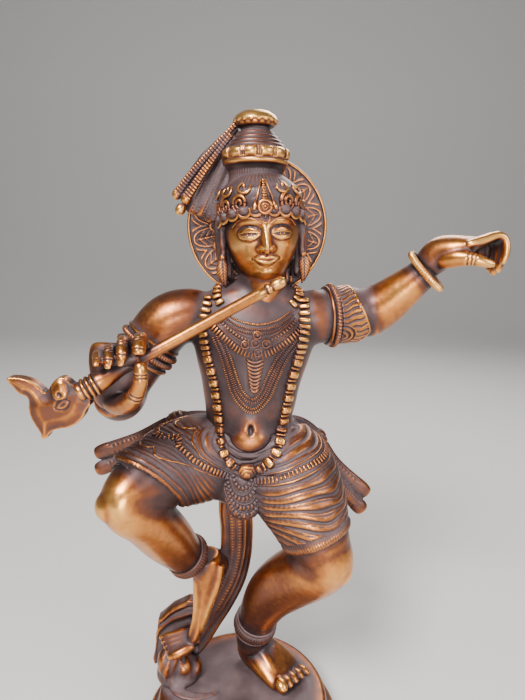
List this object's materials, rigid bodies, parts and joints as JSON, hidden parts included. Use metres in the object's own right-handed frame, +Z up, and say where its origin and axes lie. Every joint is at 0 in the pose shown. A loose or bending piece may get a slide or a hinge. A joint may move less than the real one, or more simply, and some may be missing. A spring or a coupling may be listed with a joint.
{
  "type": "krishna figure",
  "caption": "Cast brass statuette of a crowned dancing flute player on one bent leg, on a round two-tier plinth, holding a flute with a bird's-head end.",
  "frame": {"origin": "centre of the plinth's underside, on the surface that it stands on", "axes": "+Z up, +X to the viewer's right and the open arm's side, +Y away from the viewer, towards the halo at the back"},
  "size_m": [0.2092, 0.1161, 0.3325],
  "materials": {
    "figure_brass": "antique brass, dark brown patina in the hollows, rubbed golden on the high parts",
    "flute_brass": "antique brass, rubbed golden",
    "plinth_brass": "antique brass, dark dusty patina with a rubbed edge"
  },
  "bodies": {
    "root": {"figure": "figure_brass", "flute": "flute_brass", "plinth": "plinth_brass"}
  },
  "joints": []
}
